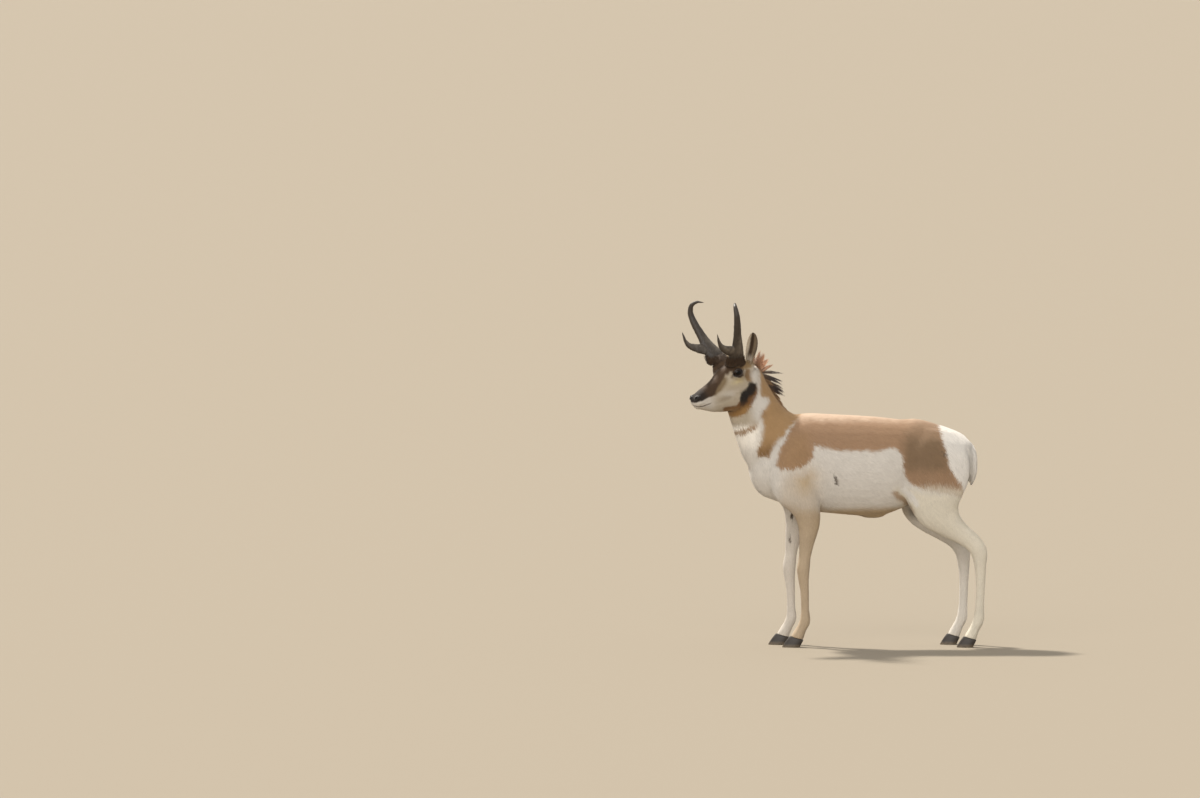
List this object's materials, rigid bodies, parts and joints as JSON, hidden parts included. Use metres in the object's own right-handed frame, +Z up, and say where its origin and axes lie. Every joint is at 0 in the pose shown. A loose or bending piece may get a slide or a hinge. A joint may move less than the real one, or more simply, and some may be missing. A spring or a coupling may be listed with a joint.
{
  "type": "standing pronghorn buck",
  "caption": "Life-size standing pronghorn buck, head turned to its left, with forked hooked horns, upright ear, short mane, white rump and flank, and cloven hooves.",
  "frame": {"origin": "on the floor, in the middle of the bounding box", "axes": "+Z up, -Y the way the body faces, +X the animal's left, to which its head is turned"},
  "size_m": [0.3734, 1.1392, 1.2914],
  "materials": {
    "coat": "short dense hair, tan brown above and off-white below, with dark face marks",
    "white_coat": "longer off-white hair",
    "horn": "black horn sheath, fibrous, satin",
    "eye": "wet and glossy, near black brown",
    "hoof": "dark horn, satin"
  },
  "bodies": {
    "root": {"ear_left": "coat", "ear_right": "coat", "eye_left": "eye", "eye_right": "eye", "foreleg_left": "coat", "foreleg_right": "coat", "head": "coat", "hindleg_left": "coat", "hindleg_right": "coat", "hoof_foreleg_left_inner": "hoof", "hoof_foreleg_left_outer": "hoof", "hoof_foreleg_right_inner": "hoof", "hoof_foreleg_right_outer": "hoof", "hoof_hindleg_left_inner": "hoof", "hoof_hindleg_left_outer": "hoof", "hoof_hindleg_right_inner": "hoof", "hoof_hindleg_right_outer": "hoof", "horn_left": "horn", "horn_right": "horn", "neck": "coat", "tail": "white_coat", "torso": "coat"}
  },
  "joints": []
}
